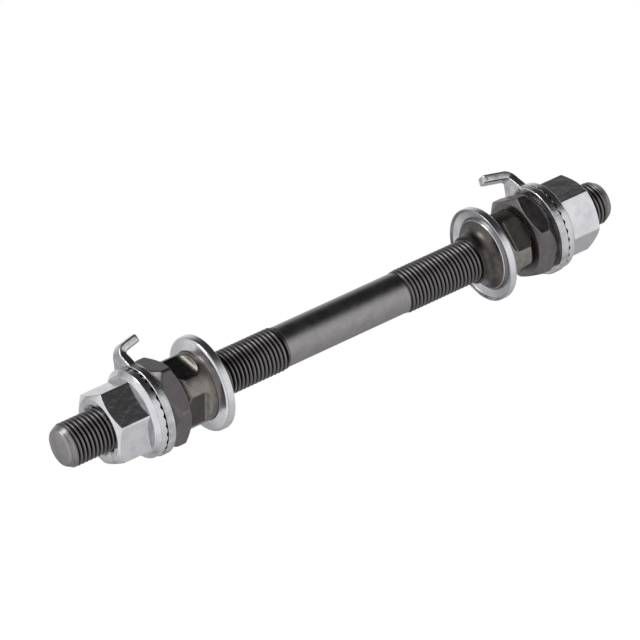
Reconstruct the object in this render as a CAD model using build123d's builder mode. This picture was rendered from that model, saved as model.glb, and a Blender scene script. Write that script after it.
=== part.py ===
from build123d import *
import os
from math import cos, radians, sin, sqrt, tan

# Bolt-on front hub axle for a loose-ball hub, in millimetres.
# The axle lies along Y with the hub centre at the origin, +X is forward and +Z is up,
# so the left-hand pieces are on +Y. Distances named "reach" run outboard from the centre.

os.makedirs("parts", exist_ok=True)

# axle: 3/8 inch by 26 threads per inch, rolled on a blank of the pitch diameter
thread_diameter = 9.525
blank_diameter = 8.9
end_projection = 20.0     # each end of the axle beyond its lock nut, before axle_shift
blank_length = 30.0
axle_shift = 1.7          # the axle's middle lies this far towards the right-hand end
thread_runout = 1.5
end_chamfer_length = 1.6
end_chamfer_depth = 0.9
thread_clearance = 0.05   # radial, under the cones and lock nuts
running_clearance = 0.08  # radial, under the washers and axle nuts, which travel

# fork spacing, over the outer faces of the lock nuts
over_locknuts = 100.0

# bearing cone
cone_length = 12.4
nose_diameter = 10.6
nose_length = 0.5
rim_reach = 3.4           # from the nose to the rim of the ball track
rim_diameter = 15.1
track_depth = 2.1         # how far the track runs on from the nose before it turns outwards
collar_diameter = 16.4    # the shoulder that the dust cap is pressed up to
collar_length = 1.0       # from the track's rim
cone_body_diameter = 15.0
cone_flats = 13.0
flats_length = 4.5
flat_ramp = 0.6           # how far a flat runs out along the axle for each unit of depth
end_bevel_length = 1.4
end_bevel_depth = 1.0
cone_corner_angle = {"left": 38.0, "right": -0.5}

# pressed dust cap, a dished cup that opens towards the hub
cap_diameter = 20.7
cap_depth = 1.9
cap_sheet = 0.8
cap_dish = 0.5            # how far the cap's hole stands out from its rim
cap_edge_chamfer = 0.5
cap_reach = 4.9           # from the cone's nose to the cap's outer face at the rim
press_clearance = 0.02

# lock nut
locknut_flats = 17.0
locknut_thickness = 5.0
locknut_corner_angle = {"left": 39.0, "right": -4.0}
locknut_face_margin = 0.35
chamfer_angle = 30.0          # turned on the corners of all the hexagons
washer_side_angle = 50.0      # the same, but deeper on the outer face, under the washer

# hooked retention washer
washer_diameter = 19.9
washer_thickness = 1.8
arm_root_width = 7.5
arm_root_radius = 9.2
arm_root_fillet = 1.2
hook_width = 3.2
hook_radius = 12.3        # from the axle's centre line to the inside of the hook
hook_length = {"left": 5.8, "right": 4.3}   # from the washer's inner face to the hook's tip
hook_tilt = 12.0
hook_bend_radius = 0.9
hook_tip_round = 1.2
hook_edge_round = 0.35
hook_lean = {"left": -7.0, "right": 0.0}

# flanged axle nut
nut_flats = 14.8
nut_height = 10.4
nut_corner_angle = {"left": 8.9, "right": 41.8}
nut_edge_round = 0.5
flange_diameter = 19.3
flange_rim = 1.6
flange_thickness = 2.6
flange_land_diameter = 17.2
nut_face_margin = 0.5
countersink_depth = 0.8
tooth_count = 30
tooth_depth = 0.6
tooth_inner_diameter = 13.0

thread_radius = thread_diameter / 2
half_axle = over_locknuts / 2 + end_projection
locknut_outer = over_locknuts / 2
locknut_inner = locknut_outer - locknut_thickness
cone_nose = locknut_inner - cone_length
cone_rim = cone_nose + rim_reach
cone_body_radius = cone_body_diameter / 2
washer_outer = locknut_outer + washer_thickness
nut_outer = washer_outer + nut_height


def outboard_plane(side, reach, turn=0.0):
    """A plane square to the axle that looks outboard, its X axis up, turned from up towards +X."""
    angle = radians(turn)
    return Plane(origin=(0, side * reach, 0), x_dir=(sin(angle), 0, cos(angle)), z_dir=(0, side, 0))


def section_plane(side, turn=0.0):
    """A plane through the axle: its X axis runs outboard, its Y axis is the radius."""
    angle = radians(turn)
    return Plane(origin=(0, 0, 0), x_dir=(0, side, 0), z_dir=(side * cos(angle), 0, -side * sin(angle)))


def make_axle():
    right_end = -half_axle - axle_shift
    left_end = half_axle - axle_shift
    blank_right = -blank_length / 2 - axle_shift
    blank_left = blank_length / 2 - axle_shift
    blank_radius = blank_diameter / 2
    with BuildPart() as axle:
        with BuildSketch(section_plane(1)):
            with BuildLine():
                Polyline(
                    (right_end, 0),
                    (right_end, thread_radius - end_chamfer_depth),
                    (right_end + end_chamfer_length, thread_radius),
                    (blank_right - thread_runout, thread_radius),
                    (blank_right, blank_radius),
                    (blank_left, blank_radius),
                    (blank_left + thread_runout, thread_radius),
                    (left_end - end_chamfer_length, thread_radius),
                    (left_end, thread_radius - end_chamfer_depth),
                    (left_end, 0),
                    close=True,
                )
            make_face()
        revolve(axis=Axis.Y)
    return axle


def make_cone(side, name):
    bore = thread_radius + thread_clearance
    nose_radius = nose_diameter / 2
    nose_end = cone_nose + nose_length
    rim_radius = rim_diameter / 2
    collar_radius = collar_diameter / 2
    collar_end = cone_rim + collar_length
    flat_radius = cone_flats / 2
    flats_start = locknut_inner - flats_length
    with BuildPart() as cone:
        with BuildSketch(section_plane(side)):
            with BuildLine():
                Polyline((cone_nose, bore), (cone_nose, nose_radius), (nose_end, nose_radius))
                Bezier(
                    (nose_end, nose_radius), (nose_end + track_depth, nose_radius), (cone_rim, rim_radius)
                )
                Polyline(
                    (cone_rim, rim_radius),
                    (cone_rim + collar_radius - rim_radius, collar_radius),
                    (collar_end, collar_radius),
                    (collar_end, cone_body_radius),
                    (locknut_inner - end_bevel_length, cone_body_radius),
                    (locknut_inner, cone_body_radius - end_bevel_depth),
                    (locknut_inner, bore),
                    (cone_nose, bore),
                )
            make_face()
        revolve(axis=Axis.Y)
        # four flats for a thin cone spanner, each run out on a short ramp
        for corner in range(4):
            with BuildSketch(section_plane(side, cone_corner_angle[name] + 45 + 90 * corner)):
                with BuildLine():
                    Polyline(
                        (flats_start, flat_radius),
                        (locknut_inner, flat_radius),
                        (locknut_inner, collar_radius),
                        (flats_start - flat_ramp * (collar_radius - flat_radius), collar_radius),
                        close=True,
                    )
                make_face()
            extrude(amount=cone_body_radius, both=True, mode=Mode.SUBTRACT)
    return cone


def make_dust_cap(side):
    outer = cap_diameter / 2
    hole = cone_body_radius + press_clearance
    outer_face = cone_nose + cap_reach
    with BuildPart() as cap:
        with BuildSketch(section_plane(side)) as cup:
            with BuildLine():
                Polyline(
                    (outer_face + cap_dish, hole),
                    (outer_face, outer),
                    (outer_face - cap_depth, outer),
                    (outer_face - cap_depth, outer - cap_sheet),
                    (outer_face - cap_sheet, outer - cap_sheet),
                    (outer_face + cap_dish - cap_sheet, hole),
                    close=True,
                )
            make_face()
            outermost = cup.vertices().group_by(Axis.Y)[-1]
            chamfer(outermost.sort_by(Axis.X)[-1], cap_edge_chamfer)
        revolve(axis=Axis.Y)
    return cap


def make_locknut(side, name):
    corner_radius = locknut_flats / sqrt(3)
    face_radius = locknut_flats / 2 - locknut_face_margin
    corner_cut = corner_radius - face_radius
    inner_chamfer = corner_cut * tan(radians(chamfer_angle))
    outer_chamfer = corner_cut * tan(radians(washer_side_angle))
    with BuildPart() as nut:
        with BuildSketch(outboard_plane(side, locknut_inner, locknut_corner_angle[name])):
            RegularPolygon(corner_radius, 6)
            Circle(thread_radius + thread_clearance, mode=Mode.SUBTRACT)
        extrude(amount=locknut_thickness)
        # the turned chamfers round the corners of both faces
        with BuildSketch(section_plane(side)):
            with BuildLine():
                Polyline(
                    (locknut_inner, 0),
                    (locknut_inner, face_radius),
                    (locknut_inner + inner_chamfer, corner_radius),
                    (locknut_outer - outer_chamfer, corner_radius),
                    (locknut_outer, face_radius),
                    (locknut_outer, 0),
                    close=True,
                )
            make_face()
        revolve(axis=Axis.Y, mode=Mode.INTERSECT)
    return nut


def make_washer(side, name):
    lean = hook_lean[name]
    length = hook_length[name]
    hook_outside = hook_radius + washer_thickness
    rise = length * tan(radians(hook_tilt))
    with BuildPart() as washer:
        # the arm and its hook, as a bent strip as wide as the arm's root
        with BuildSketch(section_plane(side, lean)) as strip:
            with BuildLine():
                Polyline(
                    (locknut_outer, arm_root_radius - washer_thickness),
                    (locknut_outer, hook_radius),
                    (locknut_outer - length, hook_radius + rise),
                    (locknut_outer - length, hook_outside + rise),
                    (washer_outer, hook_outside),
                    (washer_outer, arm_root_radius - washer_thickness),
                    close=True,
                )
            make_face()
            inner_face, outer_face = strip.vertices().group_by(Axis.X)[-2:]
            fillet(inner_face.sort_by(Axis.Y)[-1], hook_bend_radius)
            fillet(outer_face.sort_by(Axis.Y)[-1], hook_bend_radius + washer_thickness)
        extrude(amount=arm_root_width / 2, both=True)
        # the arm tapers from the ring to the hook's width
        with BuildSketch(outboard_plane(side, locknut_outer - 2 * length, lean)):
            with BuildLine():
                Polyline(
                    (0, -arm_root_width / 2),
                    (arm_root_radius, -arm_root_width / 2),
                    (hook_radius, -hook_width / 2),
                    (2 * hook_outside, -hook_width / 2),
                    (2 * hook_outside, hook_width / 2),
                    (hook_radius, hook_width / 2),
                    (arm_root_radius, arm_root_width / 2),
                    (0, arm_root_width / 2),
                    close=True,
                )
            make_face()
        extrude(amount=4 * length, mode=Mode.INTERSECT)
        tip = washer.faces().sort_by(Axis((0, 0, 0), (0, side, 0)))[0]
        fillet(tip.edges().group_by(SortBy.LENGTH)[0], hook_tip_round)
        fillet(washer.edges().filter_by(GeomType.LINE).group_by(SortBy.LENGTH)[-1], hook_edge_round)
        with BuildSketch(outboard_plane(side, locknut_outer)):
            Circle(washer_diameter / 2)
        extrude(amount=washer_thickness)
        # the inside corners where the arm leaves the ring
        fillet(washer.edges().filter_by(Axis.Y).sort_by(Axis.Z)[:2], arm_root_fillet)
        with BuildSketch(outboard_plane(side, locknut_outer)):
            Circle(thread_radius + running_clearance)
        extrude(amount=washer_thickness, mode=Mode.SUBTRACT)
    return washer


def make_axle_nut(side, name):
    corner_radius = nut_flats / sqrt(3)
    flange_radius = flange_diameter / 2
    face_radius = nut_flats / 2 - nut_face_margin
    chamfer_height = (corner_radius - face_radius) * tan(radians(chamfer_angle))
    bore = thread_radius + running_clearance
    with BuildPart() as nut:
        with BuildSketch(outboard_plane(side, washer_outer, nut_corner_angle[name])) as hexagon:
            RegularPolygon(corner_radius, 6)
            fillet(hexagon.vertices(), nut_edge_round)
        extrude(amount=nut_height)
        with BuildSketch(section_plane(side)):
            with BuildLine():
                Polyline(
                    (washer_outer, 0),
                    (washer_outer, corner_radius),
                    (nut_outer - chamfer_height, corner_radius),
                    (nut_outer, face_radius),
                    (nut_outer, 0),
                    close=True,
                )
            make_face()
        revolve(axis=Axis.Y, mode=Mode.INTERSECT)
        # flange with a bevelled back and a flat land round the hexagon's foot
        with BuildSketch(section_plane(side)):
            with BuildLine():
                Polyline(
                    (washer_outer, 0),
                    (washer_outer, flange_radius),
                    (washer_outer + flange_rim, flange_radius),
                    (washer_outer + flange_thickness, flange_land_diameter / 2),
                    (washer_outer + flange_thickness, 0),
                    close=True,
                )
            make_face()
        revolve(axis=Axis.Y)
        # threaded bore, countersunk at the outer face
        with BuildSketch(section_plane(side)):
            with BuildLine():
                Polyline(
                    (washer_outer, 0),
                    (washer_outer, bore),
                    (nut_outer - countersink_depth, bore),
                    (nut_outer, bore + countersink_depth),
                    (nut_outer, 0),
                    close=True,
                )
            make_face()
        revolve(axis=Axis.Y, mode=Mode.SUBTRACT)
        # radial teeth that bite into the washer, left by V grooves cut outwards
        half_pitch = flange_radius * sin(radians(180 / tooth_count))
        groove_plane = Plane(origin=(0, 0, tooth_inner_diameter / 2), x_dir=(0, side, 0), z_dir=(0, 0, 1))
        with BuildSketch(groove_plane):
            with BuildLine():
                Polyline(
                    (washer_outer, -half_pitch),
                    (washer_outer, half_pitch),
                    (washer_outer + tooth_depth, 0),
                    close=True,
                )
            make_face()
        groove = extrude(amount=flange_radius, mode=Mode.PRIVATE)
        step = 360 / tooth_count
        grooves = [groove.rotate(Axis.Y, step * index) for index in range(tooth_count)]
        add(grooves, mode=Mode.SUBTRACT)
    return nut


def save(piece, name):
    piece.part.label = name
    export_step(piece.part, f"parts/{name}.step")


save(make_axle(), "axle")
for hand, direction in (("left", 1), ("right", -1)):
    save(make_cone(direction, hand), f"{hand}_cone")
    save(make_dust_cap(direction), f"{hand}_dust_cap")
    save(make_locknut(direction, hand), f"{hand}_lock_nut")
    save(make_washer(direction, hand), f"{hand}_hook_washer")
    save(make_axle_nut(direction, hand), f"{hand}_axle_nut")
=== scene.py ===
import bpy, bmesh
from math import atan2, ceil, cos, hypot, pi, radians, sin, sqrt, tan
from mathutils import Matrix, Vector


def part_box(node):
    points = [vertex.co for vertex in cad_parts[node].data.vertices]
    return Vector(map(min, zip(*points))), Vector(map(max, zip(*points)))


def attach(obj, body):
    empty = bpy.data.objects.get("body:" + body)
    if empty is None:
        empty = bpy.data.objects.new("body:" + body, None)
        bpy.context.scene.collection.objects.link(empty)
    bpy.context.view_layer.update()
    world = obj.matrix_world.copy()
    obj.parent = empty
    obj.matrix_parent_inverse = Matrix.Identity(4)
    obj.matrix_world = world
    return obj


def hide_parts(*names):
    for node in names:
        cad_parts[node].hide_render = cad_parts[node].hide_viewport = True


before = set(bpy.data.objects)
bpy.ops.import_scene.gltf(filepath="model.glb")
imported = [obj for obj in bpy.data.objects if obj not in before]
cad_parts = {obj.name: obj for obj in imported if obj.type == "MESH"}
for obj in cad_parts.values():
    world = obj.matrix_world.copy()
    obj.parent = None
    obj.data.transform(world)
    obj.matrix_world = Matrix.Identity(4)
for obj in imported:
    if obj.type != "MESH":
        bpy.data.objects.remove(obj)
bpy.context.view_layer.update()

# Bolt-on front hub axle. The axle lies along Y, hooks up (+Z), +X forward.
# Lengths are written in millimetres and turned to metres by mm, apart from the places of the
# camera, lamp and table, in metres. The dictionaries have their angles in degrees.
mm = 0.001
sides = {"left": 1, "right": -1}


# helpers for meshes

# nearest and furthest distance of a CAD node from the hub centre along the axle, in mm
def reach(cadNode, side):
    low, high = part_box(cadNode)
    return sorted((side * low.y / mm, side * high.y / mm))


# outer radius of a round CAD node, in mm
def outerRadius(cadNode):
    low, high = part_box(cadNode)
    return (high.x - low.x) / 2 / mm


# a point at a distance outboard and a radius, angle from up towards forward
def onAxle(side, out, radius, angle):
    return Vector((radius * sin(angle), side * out, radius * cos(angle))) * mm


# a smooth rise from 0 to 1 as the value goes from 0 to 1
def eased(value):
    share = min(max(value, 0), 1)
    return share * share * (3 - 2 * share)


# a closed line from (x, y, round) corners, each corner turned into an arc
def filletPath(corners, steps=4):
    path = []
    count = len(corners)
    for index, (x, y, size) in enumerate(corners):
        here = Vector((x, y))
        if size <= 0:
            path.append(here)
            continue
        before = Vector(corners[index - 1][:2]) - here
        after = Vector(corners[(index + 1) % count][:2]) - here
        before.normalize()
        after.normalize()
        half = before.angle(after) / 2
        cut = size / tan(half)
        centre = here + (before + after).normalized() * (size / sin(half))
        start, end = here + before * cut, here + after * cut
        first = atan2(start.y - centre.y, start.x - centre.x)
        turn = atan2(end.y - centre.y, end.x - centre.x) - first
        turn = (turn + pi) % (2 * pi) - pi
        for step in range(steps + 1):
            a = first + turn * step / steps
            path.append(centre + Vector((cos(a), sin(a))) * size)
    return path


# points from a towards b, without b itself, no further apart than asked
def stepsTo(a, b, longest):
    pieces = max(1, ceil((b - a).length / longest))
    return [a.lerp(b, step / pieces) for step in range(pieces)]


# extra points so that no run of the path is longer than asked
def denser(path, longest, closed=True):
    out = []
    count = len(path)
    for index in range(count if closed else count - 1):
        out += stepsTo(path[index], path[(index + 1) % count], longest)
    return out if closed else out + [path[-1]]


# radius of a regular polygon with rounded corners at an angle, from its width across flats
def polygonRadius(angle, flats, count, firstCorner, rounding):
    step = 2 * pi / count
    a = (angle - firstCorner) % step - step / 2   # from the middle of a flat
    inner = flats / 2
    straight = inner / cos(a)
    if rounding <= 0:
        return straight
    centre = (inner - rounding) / cos(step / 2)   # of the rounding, on the corner's ray
    off = step / 2 - abs(a)
    touch = (inner - rounding) * tan(step / 2)
    if inner * tan(abs(a)) <= touch:
        return straight
    return centre * cos(off) + sqrt(max(rounding ** 2 - (centre * sin(off)) ** 2, 0))


# the smaller of two, with a rounded change from one to the other
def softMin(a, b, blend):
    h = max(blend - abs(a - b), 0) / blend
    return min(a, b) - h * h * blend / 4


# a smooth-shaded mesh with doubled points merged and any open end capped
def meshObject(name, vertices, faces, smoothAngle=35):
    oneSpot = 1e-7   # metres between points that are one point
    data = bpy.data.meshes.new(name)
    data.from_pydata(vertices, [], faces)
    work = bmesh.new()
    work.from_mesh(data)
    bmesh.ops.remove_doubles(work, verts=work.verts, dist=oneSpot)
    bmesh.ops.dissolve_degenerate(work, edges=work.edges, dist=oneSpot)
    openEdges = [edge for edge in work.edges if edge.is_boundary]
    bmesh.ops.holes_fill(work, edges=openEdges, sides=0)
    bmesh.ops.recalc_face_normals(work, faces=work.faces)
    work.to_mesh(data)
    work.free()
    data.polygons.foreach_set("use_smooth", [True] * len(data.polygons))
    data.set_sharp_from_angle(angle=radians(smoothAngle))
    piece = bpy.data.objects.new(name, data)
    bpy.context.scene.collection.objects.link(piece)
    return piece


# faces of a grid of points that closes on itself both ways
def closedGrid(rows, columns):
    faces = []
    for row in range(rows):
        below = (row + 1) % rows
        for column in range(columns):
            beside = (column + 1) % columns
            faces.append((row * columns + column, row * columns + beside,
                          below * columns + beside, below * columns + column))
    return faces


# a closed section of (out, radius) points turned round the axle; shape may change each point
def turned(name, side, section, angles, shape=None):
    vertices = []
    for out, radius in section:
        for angle in angles:
            place = shape(out, radius, angle) if shape else (out, radius)
            vertices.append(onAxle(side, place[0], place[1], angle))
    return meshObject(name, vertices, closedGrid(len(section), len(angles)))


# angles round the axle that crowd near the corners of a polygon, plus any others asked for
def crowdedAngles(count, firstCorner, offsets, others=()):
    apart = 0.05   # angles closer than this are one
    wanted = [firstCorner + 360 / count * corner + sign * offset
              for corner in range(count) for offset in offsets for sign in (1, -1)]
    kept = []
    for angle in sorted(a % 360 for a in wanted + list(others)):
        if not kept or angle - kept[-1] > apart:
            kept.append(angle)
    return [radians(angle) for angle in kept]


def evenAngles(count):
    return [2 * pi * step / count for step in range(count)]


# gives each face the one of the finishes that finishAt(radius, out, face) picks
def finishFaces(piece, side, finishes, finishAt):
    for face in piece.data.polygons:
        place = face.center
        radius, out = hypot(place.x, place.z) / mm, side * place.y / mm
        face.material_index = finishes.index(finishAt(radius, out, face))


# puts a finished piece in place of its CAD node
def placed(piece, cadNode, body, slot, *finishes):
    for finish in finishes:
        piece.data.materials.append(finish)
    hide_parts(cadNode)
    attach(piece, body)
    print(piece.name, len(piece.data.polygons), "faces")


# helpers for materials

# adds a node, sets its properties or sockets, and links (socket: output) pairs
def node(tree, kind, links=None, **settings):
    made = tree.nodes.new(kind)
    for key, value in settings.items():
        if hasattr(made, key):
            setattr(made, key, value)
        else:
            made.inputs[key.replace("_", " ")].default_value = value
    for socket, output in (links or {}).items():
        tree.links.new(output, made.inputs[socket])
    return made


# sRGB hex to the linear colour that a shader wants
def hexColour(code):
    parts = [int(code[i:i + 2], 16) / 255 for i in (1, 3, 5)]
    linear = [c / 12.92 if c <= 0.04045 else ((c + 0.055) / 1.055) ** 2.4 for c in parts]
    return (*linear, 1.0)


def grey(value):
    return (value, value, value, 1.0)


def newMaterial(name):
    made = bpy.data.materials.new(name)
    made.use_nodes = True
    tree = made.node_tree
    tree.nodes.clear()
    output = node(tree, "ShaderNodeOutputMaterial")
    shader = node(tree, "ShaderNodeBsdfPrincipled")
    tree.links.new(shader.outputs[0], output.inputs["Surface"])
    return made, tree, shader


# noise whose features have a real size in mm
def noise(tree, place, size, detail, roughness=0.5):
    return node(tree, "ShaderNodeTexNoise", {"Vector": place}, Scale=1 / (size * mm),
                Detail=detail, Roughness=roughness).outputs["Fac"]


# maps a value between two limits to two colours
def ramp(tree, source, limits, lowColour, highColour):
    made = node(tree, "ShaderNodeValToRGB", {0: source})
    for stop, at, colour in zip(made.color_ramp.elements, limits, (lowColour, highColour)):
        stop.position, stop.color = at, colour
    return made.outputs[0]


# maps a value between two limits to two other values, clamped
def mapped(tree, source, fromLow, fromHigh, toLow=0.0, toHigh=1.0):
    return node(tree, "ShaderNodeMapRange", {"Value": source}, From_Min=fromLow,
                From_Max=fromHigh, To_Min=toLow, To_Max=toHigh).outputs[0]


# a calculation on one or two outputs, or on an output and a number
def maths(tree, operation, first, second=None):
    made = node(tree, "ShaderNodeMath", {0: first}, operation=operation)
    if isinstance(second, (int, float)):
        made.inputs[1].default_value = second
    elif second is not None:
        tree.links.new(second, made.inputs[1])
    return made.outputs[0]


# a place with its x, y and z multiplied
def scaled(tree, place, factors):
    made = node(tree, "ShaderNodeVectorMath", {0: place}, operation="MULTIPLY")
    made.inputs[1].default_value = factors
    return made.outputs[0]


# chrome plate over machined or stamped steel: a mirror with faint waves from the metal below,
# hazier patches and fine specks; the nuts are brightest, the washers wavy, the caps satin, and
# thinner and greyer plate lies inside the caps' cups and on their cut lips
chromeFinish = {
    "nut": {"colour": "#e0e0e4", "haze": "#cdccd1", "roughness": 0.07, "hazyRoughness": 0.24,
            "patchSize": 2.6, "waveSize": 2.4, "waveHeight": 0.13, "streak": 0.5,
            "streakHeight": 0.006, "grainSize": 0.12},
    "washer": {"colour": "#dadadd", "haze": "#b2b1b5", "roughness": 0.11, "hazyRoughness": 0.22,
               "patchSize": 2.2, "waveSize": 1.3, "waveHeight": 0.08, "streak": 0.4,
               "streakHeight": 0.1, "grainSize": 0.15},
    "cap": {"colour": "#e8e8ec", "haze": "#d5d4d9", "roughness": 0.2, "hazyRoughness": 0.29,
            "patchSize": 3.5, "waveSize": 2.4, "waveHeight": 0.04, "streak": 0.5,
            "streakHeight": 0.004, "grainSize": 0.12},
    "cup": {"colour": "#cacace", "haze": "#b1b0b5", "roughness": 0.2, "hazyRoughness": 0.29,
            "patchSize": 3.5, "waveSize": 2.4, "waveHeight": 0.04, "streak": 0.5,
            "streakHeight": 0.004, "grainSize": 0.12},
    "cut_edge": {"colour": "#b4b3b7", "haze": "#9c9b9f", "roughness": 0.24, "hazyRoughness": 0.34,
                 "patchSize": 2.0, "waveSize": 1.2, "waveHeight": 0.03, "streak": 0.4,
                 "streakHeight": 0.01, "grainSize": 0.12}}

# the same on all chrome: the share of the noise that the patches' colour and roughness run
# over, the specks, and marks of the die round the rims, long across the axle and short along it
chromePattern = {"colourRange": (0.35, 0.7), "roughRange": (0.35, 0.75), "dieMarks": (0.2, 1, 0.2),
                 "grainStrength": 0.3, "grainHeight": 0.003}


def chromePlate(kind):
    f, p = chromeFinish[kind], chromePattern
    made, tree, shader = newMaterial("chrome_plate_" + kind)
    place = node(tree, "ShaderNodeTexCoord").outputs["Object"]
    patches = noise(tree, place, f["patchSize"], 5.0, 0.6)
    waves = noise(tree, place, f["waveSize"], 3.0)
    streaks = noise(tree, scaled(tree, place, p["dieMarks"]), f["streak"], 3.0, 0.6)
    grain = noise(tree, place, f["grainSize"], 2.0)
    colour = ramp(tree, patches, p["colourRange"], hexColour(f["colour"]), hexColour(f["haze"]))
    haze = ramp(tree, patches, p["roughRange"], grey(f["roughness"]), grey(f["hazyRoughness"]))
    slow = node(tree, "ShaderNodeBump", {"Height": waves}, Distance=f["waveHeight"] * mm)
    along = node(tree, "ShaderNodeBump", {"Height": streaks, "Normal": slow.outputs[0]},
                 Distance=f["streakHeight"] * mm)
    fine = node(tree, "ShaderNodeBump", {"Height": grain, "Normal": along.outputs[0]},
                Strength=p["grainStrength"], Distance=p["grainHeight"] * mm)
    tree.links.new(colour, shader.inputs["Base Color"])
    tree.links.new(haze, shader.inputs["Roughness"])
    tree.links.new(fine.outputs[0], shader.inputs["Normal"])
    shader.inputs["Metallic"].default_value = 1.0
    return made


# dark steels: thin black oxide on the lock nuts, a warmer and lighter oxide on the hardened
# cones, their ground ball tracks, darkened as painted shade with lighter olive patches as painted
# highlights, blacker spanner flats, also laid on the cones' noses as painted shade, and a brighter
# ground shoulder beside the track
darkFinish = {
    "black_oxide_steel_satin": {"colour": "#6c6769", "light": "#837e80", "roughness": 0.3,
                                "dullRoughness": 0.44, "patchSize": 1.6, "grainSize": 0.15,
                                "grainHeight": 0.006},
    "hardened_steel_oiled": {"colour": "#787370", "light": "#9d978f", "roughness": 0.24,
                             "dullRoughness": 0.38, "patchSize": 1.4, "grainSize": 0.15,
                             "grainHeight": 0.006},
    # the track's dark colour is painted shade, its lighter olive patches painted highlight
    "ball_track_ground_and_shade": {"colour": "#413c40", "light": "#716b66", "roughness": 0.26,
                          "dullRoughness": 0.34, "patchSize": 2.8, "grainSize": 0.15,
                          "grainHeight": 0.004},
    # also laid on the cones' noses as painted shade beside the thread
    "flats_oxide_and_nose_shade": {"colour": "#454142", "light": "#605b5b", "roughness": 0.26,
                          "dullRoughness": 0.4, "patchSize": 1.6, "grainSize": 0.15,
                          "grainHeight": 0.006},
    "shoulder_ground": {"colour": "#757375", "light": "#8a8889", "roughness": 0.28,
                        "dullRoughness": 0.38, "patchSize": 1.8, "grainSize": 0.15,
                        "grainHeight": 0.004}}
steelPattern = {"colourRange": (0.3, 0.75), "roughRange": (0.3, 0.7), "grainStrength": 0.4}


# patches of lighter and duller steel with a fine grain; hands back the colour, to be linked
def patchySteel(tree, shader, place, f):
    p = steelPattern
    patches = noise(tree, place, f["patchSize"], 6.0, 0.65)
    grain = noise(tree, place, f["grainSize"], 3.0)
    dull = ramp(tree, patches, p["roughRange"], grey(f["roughness"]), grey(f["dullRoughness"]))
    bump = node(tree, "ShaderNodeBump", {"Height": grain}, Strength=p["grainStrength"],
                Distance=f["grainHeight"] * mm)
    tree.links.new(dull, shader.inputs["Roughness"])
    tree.links.new(bump.outputs[0], shader.inputs["Normal"])
    shader.inputs["Metallic"].default_value = 1.0
    return ramp(tree, patches, p["colourRange"], hexColour(f["colour"]), hexColour(f["light"]))


def darkSteel(name):
    made, tree, shader = newMaterial(name)
    place = node(tree, "ShaderNodeTexCoord").outputs["Object"]
    metal = patchySteel(tree, shader, place, darkFinish[name])
    tree.links.new(metal, shader.inputs["Base Color"])
    return made


# the shaft as it leaves the thread rollers: bare grey crests and middle, black oil in the
# grooves; oilTop and bareFrom are radii, threadFrom and threadTo distances from its middle
rolledFinish = {"colour": "#8f8c8e", "light": "#a5a2a3", "oil": "#353132", "oilTop": 4.4,
                "bareFrom": 4.9, "threadFrom": 15.4, "threadTo": 68.6, "edge": 0.5,
                "roughness": 0.25, "dullRoughness": 0.37, "patchSize": 2.2,
                "grainSize": 0.2, "grainHeight": 0.008}


def rolledSteel():
    f = rolledFinish
    made, tree, shader = newMaterial("rolled_steel_oiled")
    place = node(tree, "ShaderNodeTexCoord").outputs["Object"]
    metal = patchySteel(tree, shader, place, f)
    fromAxis = scaled(tree, place, (1, 0, 1))
    radius = node(tree, "ShaderNodeVectorMath", {0: fromAxis}, operation="LENGTH")
    crests = mapped(tree, radius.outputs["Value"], f["oilTop"] * mm, f["bareFrom"] * mm)

    # no oil on the plain middle and on the ends
    low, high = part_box("axle")
    along = node(tree, "ShaderNodeSeparateXYZ", {0: place}).outputs["Y"]
    distance = maths(tree, "ABSOLUTE", maths(tree, "SUBTRACT", along, (low.y + high.y) / 2))
    middle = mapped(tree, distance, (f["threadFrom"] + f["edge"]) * mm, f["threadFrom"] * mm)
    ends = mapped(tree, distance, (f["threadTo"] - f["edge"]) * mm, f["threadTo"] * mm)
    bare = maths(tree, "MAXIMUM", crests, maths(tree, "MAXIMUM", middle, ends))
    mix = node(tree, "ShaderNodeMix", {"Factor": bare, "B": metal}, data_type="RGBA")
    mix.inputs["A"].default_value = hexColour(f["oil"])
    tree.links.new(mix.outputs["Result"], shader.inputs["Base Color"])
    return made


nutChrome, washerChrome, capChrome, cupChrome, lipChrome = (chromePlate(kind)
                                                            for kind in chromeFinish)
black, hardened, track, oxideAndNoseShade, groundRim = (darkSteel(name) for name in darkFinish)
steel = rolledSteel()
print("materials made")

# the shaft: 3/8 inch by 26 threads per inch, rolled on a thinner blank
shaft = {"pitch": 25.4 / 26, "blankDiameter": 8.9, "blankLength": 30.0, "runout": 1.5,
         "threadDepth": 0.56, "crestWidth": 0.2, "rootWidth": 0.14,
         "chamferLength": 1.6, "chamferDepth": 0.9, "endRound": 0.25,
         "around": 84, "rowsPerTurn": 6, "smoothAngle": 50}


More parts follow.
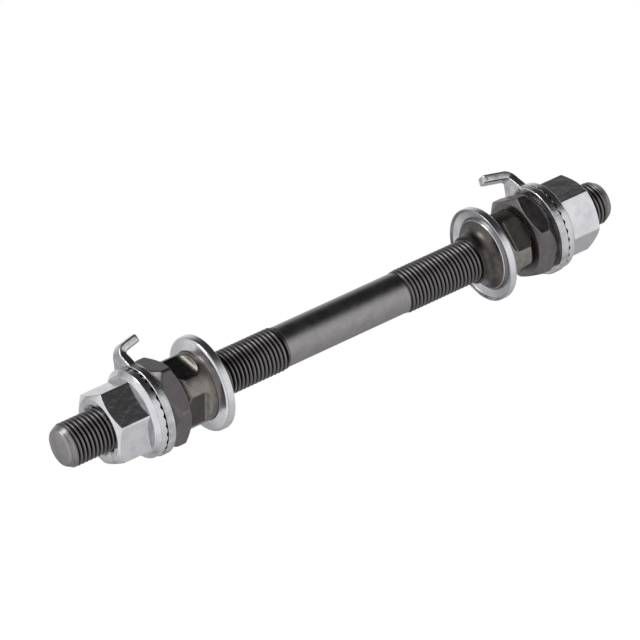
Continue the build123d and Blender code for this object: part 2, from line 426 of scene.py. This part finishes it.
def makeShaft():
    s = shaft
    start, end = reach("axle", 1)
    crest, blank = outerRadius("axle"), s["blankDiameter"] / 2
    middle = (start + end) / 2
    pitch, rowsPerTurn, around = s["pitch"], s["rowsPerTurn"], s["around"]
    halfCrest, halfRoot = s["crestWidth"] / 2, s["rootWidth"] / 2

    # the rolled V at a phase of 0 to 1, with flat crests and roots
    def threadRadius(phase):
        fromCrest = abs(phase - round(phase)) * pitch
        slope = (fromCrest - halfCrest) / (pitch / 2 - halfCrest - halfRoot)
        return crest - s["threadDepth"] * eased(slope)

    # plain blank, run-out, thread, and a chamfer whose edge on the end face is rounded
    def surface(out, phase):
        fromBlank = abs(out - middle) - s["blankLength"] / 2
        radius = blank + (threadRadius(phase) - blank) * eased(fromBlank / s["runout"])
        fromEnd = min(out - start, end - out)
        chamfer = crest - s["chamferDepth"] * (1 - fromEnd / s["chamferLength"])
        if fromEnd < s["endRound"]:
            chamfer -= s["endRound"] * (1 - sqrt(1 - (1 - fromEnd / s["endRound"]) ** 2))
        return min(radius, chamfer)

    # the grid follows the helix, so that each row keeps its place on the thread
    vertices, faces = [], []
    rows = ceil((end - start) / (pitch / rowsPerTurn)) + 2 * rowsPerTurn
    for row in range(rows):
        for column in range(around):
            turn = column / around
            out = start - pitch + (row / rowsPerTurn + turn) * pitch
            out = min(max(out, start), end)
            vertices.append(onAxle(1, out, surface(out, row / rowsPerTurn), 2 * pi * turn))
    for row in range(rows - 1):
        for column in range(around - 1):
            a = row * around + column
            faces.append((a, a + 1, a + around + 1, a + around))
        if row + 1 + rowsPerTurn < rows:
            a = row * around + around - 1
            b = (row + rowsPerTurn) * around
            faces.append((a, b, b + around, a + around))
    placed(meshObject("threaded_axle", vertices, faces, s["smoothAngle"]), "axle", "axle_unit",
           "rolled_steel", steel)


# bearing cones: a ball track that flares from the nose to a shoulder behind the dust cap, a
# round body, four spanner flats that run out in a milled hollow, and a bevelled outer end;
# margins tell a face's middle from the next surface
cone = {"bore": 4.8125, "noseRadius": 5.3, "noseLength": 0.5, "noseRound": 0.12,
        "trackDepth": 2.1, "trackSteps": 20, "rimReach": 3.4, "rimRadius": 7.55,
        "rimRound": 0.04, "edgeWidth": 0.11, "shoulderRadius": 8.2, "shoulderLength": 1.0,
        "shoulderRound": 0.12, "shoulderEndRound": 0.1, "bodyRadius": 7.5,
        "flats": 13.0, "flatsLength": 4.25, "cutterRadius": 1.7, "edgeBlend": 0.16,
        "bevelLength": 1.4, "bevelDepth": 1.0, "bevelRound": 0.3, "endRound": 0.12,
        "cornerAngle": {"left": 38.0, "right": -0.5},
        "insideBelow": 6.0, "rowStep": 0.06, "wideRowStep": 0.35,
        "margin": 0.1, "rimMargin": 0.02, "flatsMargin": 0.03, "flatsFacing": 0.995,
        "offsets": (0, 3, 6, 9, 11, 12.5, 13.5, 14.2, 14.7, 15.1, 15.5, 16, 16.8, 17.8, 19, 20.5,
                    22, 23.5, 25, 26.5, 28, 29.5, 31, 32.5, 34, 35.5, 37, 38.5, 40, 41.5, 43, 45)}


def makeCone(hand, side):
    c = cone
    nose, end = reach(hand + "_cone", side)
    body, shoulder, rimRadius = c["bodyRadius"], c["shoulderRadius"], c["rimRadius"]
    noseEnd, rim = nose + c["noseLength"], nose + c["rimReach"]
    flatsStart, shoulderEnd = end - c["flatsLength"], rim + c["shoulderLength"]
    bevelStart, bodyStart = end - c["bevelLength"], shoulderEnd + c["margin"]

    # the ball track leaves the nose along the axle and curves outwards to the rim
    flare = []
    for step in range(1, c["trackSteps"]):
        t = step / c["trackSteps"]
        out = noseEnd * (1 - t) ** 2 + (noseEnd + c["trackDepth"]) * 2 * t * (1 - t) + rim * t * t
        flare.append((out, c["noseRadius"] * (1 - t * t) + rimRadius * t * t, 0))
    section = filletPath([(nose, c["bore"], 0), (nose, c["noseRadius"], c["noseRound"]),
                          (noseEnd, c["noseRadius"], 0)] + flare
                         + [(rim, rimRadius, c["rimRound"]),
                            (rim + c["edgeWidth"], rimRadius + c["edgeWidth"], c["rimRound"]),
                            (rim + shoulder - rimRadius, shoulder, c["shoulderRound"]),
                            (shoulderEnd, shoulder, c["shoulderEndRound"]), (shoulderEnd, body, 0),
                            (bevelStart, body, c["bevelRound"]),
                            (end, body - c["bevelDepth"], c["endRound"]), (end, c["bore"], 0)])

    # rows lie closer where the flats run out and where the end is bevelled
    fine = []
    for index, here in enumerate(section):
        after = section[(index + 1) % len(section)]
        outside = min(here.y, after.y) > c["insideBelow"]
        onBody = outside and max(here.x, after.x) > bodyStart
        fine += stepsTo(here, after, c["rowStep"] if onBody else c["wideRowStep"])
    corner = radians(c["cornerAngle"][hand])

    def shape(out, radius, angle):
        if radius < c["insideBelow"] or out < bodyStart:
            return out, radius
        run = min(max(flatsStart - out, 0), c["cutterRadius"])
        half = c["flats"] / 2 + c["cutterRadius"] - sqrt(c["cutterRadius"] ** 2 - run ** 2)
        return out, softMin(radius, polygonRadius(angle, 2 * half, 4, corner, 0), c["edgeBlend"])

    piece = turned(hand + "_bearing_cone", side, fine,
                   crowdedAngles(4, c["cornerAngle"][hand], c["offsets"]), shape)
    flatAngles = [corner + pi / 4 * k for k in (1, 3, 5, 7)]
    flatsWay = [Vector((sin(a), 0, cos(a))) for a in flatAngles]

    # heavy oxide on the flats, and on the nose as painted shade beside the thread; a thin polished
    # edge between track and shoulder, given the nuts' bright chrome as a painted highlight line
    def finishAt(radius, out, face):
        # the nose gets the flats' dark oxide: painted shade beside the thread
        if out <= noseEnd - c["margin"]:
            return oxideAndNoseShade
        if out < rim and radius > c["noseRadius"] - c["margin"]:
            return track
        if rim <= out < shoulderEnd - c["margin"] and radius > rimRadius - c["rimMargin"]:
            # the nuts' bright chrome on this thin edge paints a highlight line along the rim
            return nutChrome if radius < rimRadius + c["edgeWidth"] else groundRim
        furthest = c["flats"] / 2 + c["flatsMargin"]
        onFlat = any(face.normal.dot(way) > c["flatsFacing"] and
                     face.center.dot(way) / mm < furthest for way in flatsWay)
        return oxideAndNoseShade if out > shoulderEnd and onFlat else hardened

    finishes = [hardened, track, oxideAndNoseShade, groundRim, nutChrome]
    finishFaces(piece, side, finishes, finishAt)
    placed(piece, hand + "_cone", "axle_unit", "blackened_steel", *finishes)


# dust caps: pressed cups that open towards the hub, dished outwards at the hole, with a rolled
# outer corner
cap = {"hole": 7.52, "dish": 0.5, "cornerRound": 0.75, "lipWidth": 0.3,
       "cupDepth": 0.6, "wallDraft": 0.3, "floorDish": 0.65, "floorRound": 0.5,
       "lipRound": 0.2, "lipEdge": 0.1, "holeRound": 0.2, "cornerSteps": 6, "rowStep": 0.3,
       "around": 160, "margin": 0.05}


def makeCap(hand, side):
    c = cap
    lip, hole = reach(hand + "_dust_cap", side)
    outer = outerRadius(hand + "_dust_cap")
    rim, floor = hole - c["dish"], lip + c["cupDepth"]
    lipInner = outer - c["lipWidth"]
    floorRadius, floorEnd = lipInner - c["wallDraft"], floor + c["floorDish"]
    section = filletPath([(hole, c["hole"], c["holeRound"]), (rim, outer, c["cornerRound"]),
                          (lip, outer, c["lipRound"]), (lip, lipInner, c["lipEdge"]),
                          (floor, floorRadius, c["floorRound"]), (floorEnd, c["hole"], 0)],
                         c["cornerSteps"])
    piece = turned(hand + "_pressed_cap", side, denser(section, c["rowStep"]),
                   evenAngles(c["around"]))

    def finishAt(radius, out, face):
        if radius >= outer - c["margin"] or out >= floorEnd:
            return capChrome
        return cupChrome if radius < floorRadius else lipChrome

    finishes = [capChrome, cupChrome, lipChrome]
    finishFaces(piece, side, finishes, finishAt)
    placed(piece, hand + "_dust_cap", "axle_unit", "chrome_plate", *finishes)


# lock nuts: thin hexagons with a turned chamfer on both faces, deeper under the washer
lockNut = {"flats": 17.0, "bore": 4.8125, "cornerRound": 0.9, "faceMargin": 0.35,
           "chamferAngle": 30.0, "washerSideAngle": 54.0, "edgeBlend": 0.2, "boreChamfer": 0.4,
           "rowStep": 0.09, "faceRows": (0.25, 1.5), "boreRow": 0.1,
           "cornerAngle": {"left": 39.0, "right": -4.0},
           "offsets": (0, 0.4, 0.8, 1.2, 1.7, 2.3, 3, 4, 5.5, 7.5, 10, 13, 16, 19, 22, 26, 30)}


def makeLockNut(hand, side):
    n = lockNut
    low, high = reach(hand + "_lock_nut", side)
    faceRadius = n["flats"] / 2 - n["faceMargin"]
    slope = 1 / tan(radians(n["chamferAngle"]))
    washerSlope = 1 / tan(radians(n["washerSideAngle"]))
    corner = radians(n["cornerAngle"][hand])
    tip = n["flats"] / sqrt(3)
    bore, cut = n["bore"], n["boreChamfer"]
    steps = round((high - low) / n["rowStep"])
    skirt = [(low + (high - low) * k / steps, tip) for k in range(steps + 1)]
    faceRadii = [faceRadius - inset for inset in n["faceRows"]]
    faceRadii += [bore + cut + n["boreRow"], bore + cut]
    inside = [(high, radius) for radius in faceRadii] + [(high - cut, bore), (low + cut, bore)]
    inside += [(low, radius) for radius in reversed(faceRadii)]

    def shape(out, radius, angle):
        if radius < tip:
            return out, radius
        flank = faceRadius + min((out - low) * slope, (high - out) * washerSlope)
        hexagon = polygonRadius(angle, n["flats"], 6, corner, n["cornerRound"])
        return out, softMin(flank, hexagon, n["edgeBlend"])

    placed(turned(hand + "_hex_lock_nut", side, skirt + inside,
                  crowdedAngles(6, n["cornerAngle"][hand], n["offsets"]), shape),
           hand + "_lock_nut", "axle_unit", "blackened_steel", black)


# axle nuts: a tall hexagon on a bevelled flange, with radial teeth on the bearing face
nut = {"flats": 14.8, "bore": 4.8425, "cornerRound": 0.5, "faceMargin": 0.5, "chamferAngle": 30.0,
       "edgeBlend": 0.2, "countersink": 0.8, "flangeRim": 1.6, "flangeDepth": 2.6,
       "landRadius": 8.6, "landRound": 0.15, "rimRound": 0.3, "bearingRound": 0.25,
       "teeth": 30, "toothDepth": 0.5, "toothInner": 6.5, "toothFoot": 0.02, "toothRow": 8.2,
       "rowStep": 0.25, "flankRows": 28, "chamferRowStep": 0.06, "faceRows": (0.2, 0.5),
       "boreRow": 0.08, "cornerAngle": {"left": 8.9, "right": 41.8},
       "offsets": (0, 0.5, 1, 1.5, 2, 2.5, 3.2, 4, 5.5, 7.5, 10, 13, 16, 19, 22, 26, 30)}


def makeAxleNut(hand, side):
    n = nut
    inner, outer = reach(hand + "_axle_nut", side)
    flange = outerRadius(hand + "_axle_nut")
    faceRadius = n["flats"] / 2 - n["faceMargin"]
    slope = 1 / tan(radians(n["chamferAngle"]))
    corner = radians(n["cornerAngle"][hand])
    tip = n["flats"] / sqrt(3)
    bore, sink = n["bore"], n["bore"] + n["countersink"]
    rimEnd, land = inner + n["flangeRim"], inner + n["flangeDepth"]
    chamferStart = outer - (tip - faceRadius) / slope

    # the flange's outline, without the two ends that only steer its roundings
    back = filletPath([(inner, n["toothInner"], 0), (inner, flange, n["bearingRound"]),
                       (rimEnd, flange, n["rimRound"]), (land, n["landRadius"], n["landRound"]),
                       (land, tip, 0)])[1:-1]
    section = [(p.x, p.y) for p in denser(back, n["rowStep"], closed=False)]
    flank, rows = chamferStart - land, n["flankRows"]
    section += [(land + flank * k / rows, tip) for k in range(rows)]
    chamfer = outer - chamferStart
    steps = round(chamfer / n["chamferRowStep"])
    section += [(chamferStart + chamfer * k / steps, tip) for k in range(steps + 1)]
    section += [(outer, faceRadius - inset) for inset in n["faceRows"]]
    section += [(outer, sink + n["boreRow"]), (outer, sink),
                (outer - n["boreRow"], sink - n["boreRow"]), (outer - n["countersink"], bore),
                (inner, bore), (inner, n["toothInner"] - n["toothFoot"]),
                (inner, n["toothInner"]), (inner, n["toothRow"])]
    toothStep = 2 * pi / n["teeth"]
    halfPitch = flange * sin(toothStep / 2)

    def shape(out, radius, angle):
        if out < rimEnd and radius >= n["toothInner"]:
            off = abs(angle - toothStep * round(angle / toothStep))
            groove = inner + n["toothDepth"] * (1 - radius * sin(off) / halfPitch)
            return max(out, groove), radius
        if radius < tip or out < land:
            return out, radius
        turnedRadius = faceRadius + (outer - out) * slope
        hexagon = polygonRadius(angle, n["flats"], 6, corner, n["cornerRound"])
        return out, softMin(turnedRadius, hexagon, n["edgeBlend"])

    teethAt = [180 / n["teeth"] * k for k in range(2 * n["teeth"])]
    placed(turned(hand + "_flange_nut", side, section,
                  crowdedAngles(6, n["cornerAngle"][hand], n["offsets"], teethAt), shape),
           hand + "_axle_nut", hand + "_nut", "chrome_plate", nutChrome)


# hooked washers: a stamped ring whose tapered arm is bent over towards the hub; the hook's
# edges are rounder than the ring's, from hookRoundFrom up over hookRoundRise
washer = {"thickness": 1.8, "hole": 4.8425, "radius": 9.95, "armRoot": (3.75, 9.2),
          "hookHalfWidth": 1.6, "hookRadius": 12.3, "rootRound": 2.0, "neckRound": 2.5,
          "tipRound": 1.0, "bendRadius": 0.9, "tilt": 12.0,
          "hookLength": {"left": 5.8, "right": 4.3}, "lean": {"left": -7.0, "right": 0.0},
          "ringRound": 0.3, "hookRound": 0.42, "hookRoundFrom": 9.5, "hookRoundRise": 3.0,
          "rootStep": 0.005, "rootGap": 1.2, "rimSteps": 190, "cornerSteps": 6,
          "roundSteps": 5, "faceRows": 44, "outlineStep": 0.3}


def makeWasher(hand, side):
    w = washer
    thick, ringRadius, half = w["thickness"], w["radius"], w["hookHalfWidth"]
    inner = reach(hand + "_hook_washer", side)[1] - thick
    bend = pi / 2 - radians(w["tilt"])
    bendStart = w["hookRadius"] - w["bendRadius"]
    middle = w["bendRadius"] + thick / 2
    straight = (w["hookLength"][hand] - w["bendRadius"] * (1 - cos(bend))) / sin(bend)
    tipAt = bendStart + middle * bend + straight

    # the arm's tapered edge, followed up to where it leaves the ring
    rootX, rootY = w["armRoot"]
    taper = (rootX - half) / (w["hookRadius"] - rootY)
    while rootX ** 2 + rootY ** 2 < ringRadius ** 2:
        rootY += w["rootStep"]
        rootX -= w["rootStep"] * taper
    rootAngle = atan2(rootX, rootY)

    # the flat blank's outline; the ring stops short of the arm to leave room for its roundings
    right = [(rootX, rootY, w["rootRound"]), (half, w["hookRadius"], w["neckRound"]),
             (half, tipAt, w["tipRound"])]
    left = [(-x, y, size) for x, y, size in right]
    first, steps = rootAngle + w["rootGap"] / ringRadius, w["rimSteps"]
    rimAngles = [first + (2 * pi - 2 * first) * k / steps for k in range(steps + 1)]
    ring = [(ringRadius * sin(a), ringRadius * cos(a), 0) for a in rimAngles]
    blank = filletPath(right[::-1] + ring + left, w["cornerSteps"])
    outline = denser(blank, w["outlineStep"])
    count = len(outline)
    turn = radians(w["lean"][hand])

    # a point of the flat blank, bent over where the arm passes the bend line
    def bent(x, y, depth):
        out = inner + depth
        if y > bendStart:
            angle = min((y - bendStart) / middle, bend)
            far = y - bendStart - middle * angle
            size = w["bendRadius"] + depth
            y = bendStart + size * sin(angle) + far * cos(angle)
            out = inner - w["bendRadius"] + size * cos(angle) - far * sin(angle)
        return Vector((x * cos(turn) + y * sin(turn), side * out,
                       y * cos(turn) - x * sin(turn))) * mm

    # from each outline point: over the rounded edge, then both faces to the hole
    columns = []
    rows = w["faceRows"]
    for index, here in enumerate(outline):
        along = outline[(index + 1) % count] - outline[index - 1]
        normal = Vector((-along.y, along.x)).normalized()
        share = min(max((here.y - w["hookRoundFrom"]) / w["hookRoundRise"], 0), 1)
        size = w["ringRound"] + (w["hookRound"] - w["ringRound"]) * share
        line = []
        for step in range(w["roundSteps"] + 1):
            a = pi / 2 * step / w["roundSteps"]
            line.append((here - normal * size * (1 - sin(a)), size * (1 - cos(a))))
        line += [(place, thick - depth) for place, depth in reversed(line)]
        innerEdge = line[0][0]
        hole = innerEdge.normalized() * w["hole"]
        far = [(innerEdge.lerp(hole, k / rows), thick) for k in range(1, rows + 1)]
        near = [(place, 0) for place, depth in reversed(far)]
        columns.append([bent(place.x, place.y, depth) for place, depth in line + far + near])
    vertices = [point for column in columns for point in column]
    placed(meshObject(hand + "_hooked_washer", vertices, closedGrid(count, len(columns[0]))),
           hand + "_hook_washer", hand + "_washer", "chrome_plate", washerChrome)


makeShaft()
for hand, side in sides.items():
    makeCone(hand, side)
    makeCap(hand, side)
    makeLockNut(hand, side)
    makeAxleNut(hand, side)
    makeWasher(hand, side)

# the view of the photograph: a long lens 1 m away, level with the axle and rolled
view = {"lens": 275.9, "sensor": 36.0, "clip": (0.05, 20.0), "distance": 1.0129,
        "fromSide": 61.31, "roll": 24.635, "aimRight": 5.185, "aimDown": -0.567}


def makeCamera():
    v = view
    lens = bpy.data.cameras.new("camera")
    lens.lens, lens.sensor_width = v["lens"], v["sensor"]
    lens.clip_start, lens.clip_end = v["clip"]
    camera = bpy.data.objects.new("camera", lens)
    bpy.context.scene.collection.objects.link(camera)
    azimuth, roll = radians(v["fromSide"]), radians(v["roll"])
    back = Vector((sin(azimuth), -cos(azimuth), 0))
    level = Vector((cos(azimuth), sin(azimuth), 0))
    right = level * cos(roll) - Vector((0, 0, 1)) * sin(roll)
    up = back.cross(right)
    place = back * v["distance"] - right * v["aimRight"] * mm + up * v["aimDown"] * mm
    camera.matrix_world = Matrix((
        (right.x, up.x, back.x, place.x), (right.y, up.y, back.y, place.y),
        (right.z, up.z, back.z, place.z), (0, 0, 0, 1)))
    bpy.context.scene.camera = camera


# a round softbox that looks at the hub centre
softbox = {"place": (0.12, -0.55, 0.82), "size": 0.44, "power": 1.9}


def makeLamp():
    light = bpy.data.lights.new("key", "AREA")
    light.shape, light.size, light.energy = "DISK", softbox["size"], softbox["power"]
    lamp = bpy.data.objects.new("key", light)
    bpy.context.scene.collection.objects.link(lamp)
    lamp.location = softbox["place"]
    lamp.rotation_mode = "QUATERNION"
    lamp.rotation_quaternion = (-Vector(softbox["place"])).to_track_quat("-Z", "Y")


# what the metal sees round the axle, by the angle below the level line in front of it: a dark
# ceiling over the camera, white walls in front, a greyer table and a light wall behind
studio = {-180: 0.82, -150: 0.78, -138: 0.7, -122: 0.42, -109: 0.14, -98: 0.06, -80: 0.04,
          -50: 0.04, -35: 0.06, -22: 0.25, -10: 0.68, 0: 0.9, 20: 0.97, 45: 0.9, 80: 0.7,
          110: 0.62, 138: 0.45, 165: 0.42, 180: 0.5}
# towards the right-hand end of the axle those walls fade into an end wall, light all over:
# from and to, as parts of the direction along Y, and the brightness at each
wallFade = (-0.45, -0.1, 0.35, 1.0)
endWall = (-0.8, 0.0, 0.98, 0.0)


# white to the camera, the studio to the metal
def makeWorld():
    world = bpy.data.worlds.new("studio")
    bpy.context.scene.world = world
    world.use_nodes = True
    tree = world.node_tree
    tree.nodes.clear()
    output = node(tree, "ShaderNodeOutputWorld")
    direction = node(tree, "ShaderNodeTexCoord").outputs["Generated"]
    parts = node(tree, "ShaderNodeSeparateXYZ", {0: direction}).outputs
    around = maths(tree, "ARCTAN2", maths(tree, "MULTIPLY", parts["Z"], -1), parts["X"])
    walls = node(tree, "ShaderNodeValToRGB", {0: mapped(tree, around, -pi, pi)})
    stops = walls.color_ramp.elements
    for angle, brightness in studio.items():
        at = (angle + 180) / 360
        stop = stops[0] if at == 0 else stops[-1] if at == 1 else stops.new(at)
        stop.color = grey(brightness)
    faded = maths(tree, "MULTIPLY", walls.outputs[0], mapped(tree, parts["Y"], *wallFade))
    room = maths(tree, "MAXIMUM", faded, mapped(tree, parts["Y"], *endWall))
    toMetal = node(tree, "ShaderNodeBackground", {"Color": room})
    toCamera = node(tree, "ShaderNodeBackground", Color=grey(1.0))
    seen = node(tree, "ShaderNodeLightPath").outputs["Is Camera Ray"]
    mix = node(tree, "ShaderNodeMixShader",
               {0: seen, 1: toMetal.outputs[0], 2: toCamera.outputs[0]})
    tree.links.new(mix.outputs[0], output.inputs["Surface"])


# a white table top below the axle, which glows to the camera so that it meets the white behind
# it without an edge
table = {"half": 3.0, "height": -0.085, "white": 0.9, "roughness": 0.9, "glow": 0.85}


def makeFloor():
    data = bpy.data.meshes.new("table_top")
    half, height = table["half"], table["height"]
    data.from_pydata([(-half, -half, height), (half, -half, height), (half, half, height),
                      (-half, half, height)], [], [(0, 1, 2, 3)])
    floor = bpy.data.objects.new("table_top", data)
    bpy.context.scene.collection.objects.link(floor)
    floor.visible_glossy = False   # metal sees the studio's own table
    made, tree, shader = newMaterial("white_paper")
    shader.inputs["Base Color"].default_value = grey(table["white"])
    shader.inputs["Roughness"].default_value = table["roughness"]
    glow = node(tree, "ShaderNodeEmission", Color=grey(1.0), Strength=table["glow"])
    lit = node(tree, "ShaderNodeAddShader", {0: shader.outputs[0], 1: glow.outputs[0]})
    seen = node(tree, "ShaderNodeLightPath").outputs["Is Camera Ray"]
    mix = node(tree, "ShaderNodeMixShader", {0: seen, 1: shader.outputs[0], 2: lit.outputs[0]})
    output = next(n for n in tree.nodes if n.type == "OUTPUT_MATERIAL")
    tree.links.new(mix.outputs[0], output.inputs["Surface"])
    data.materials.append(made)


makeCamera()
makeLamp()
makeWorld()
makeFloor()
bpy.context.scene.view_settings.view_transform = "Standard"
print("camera, light and floor made")
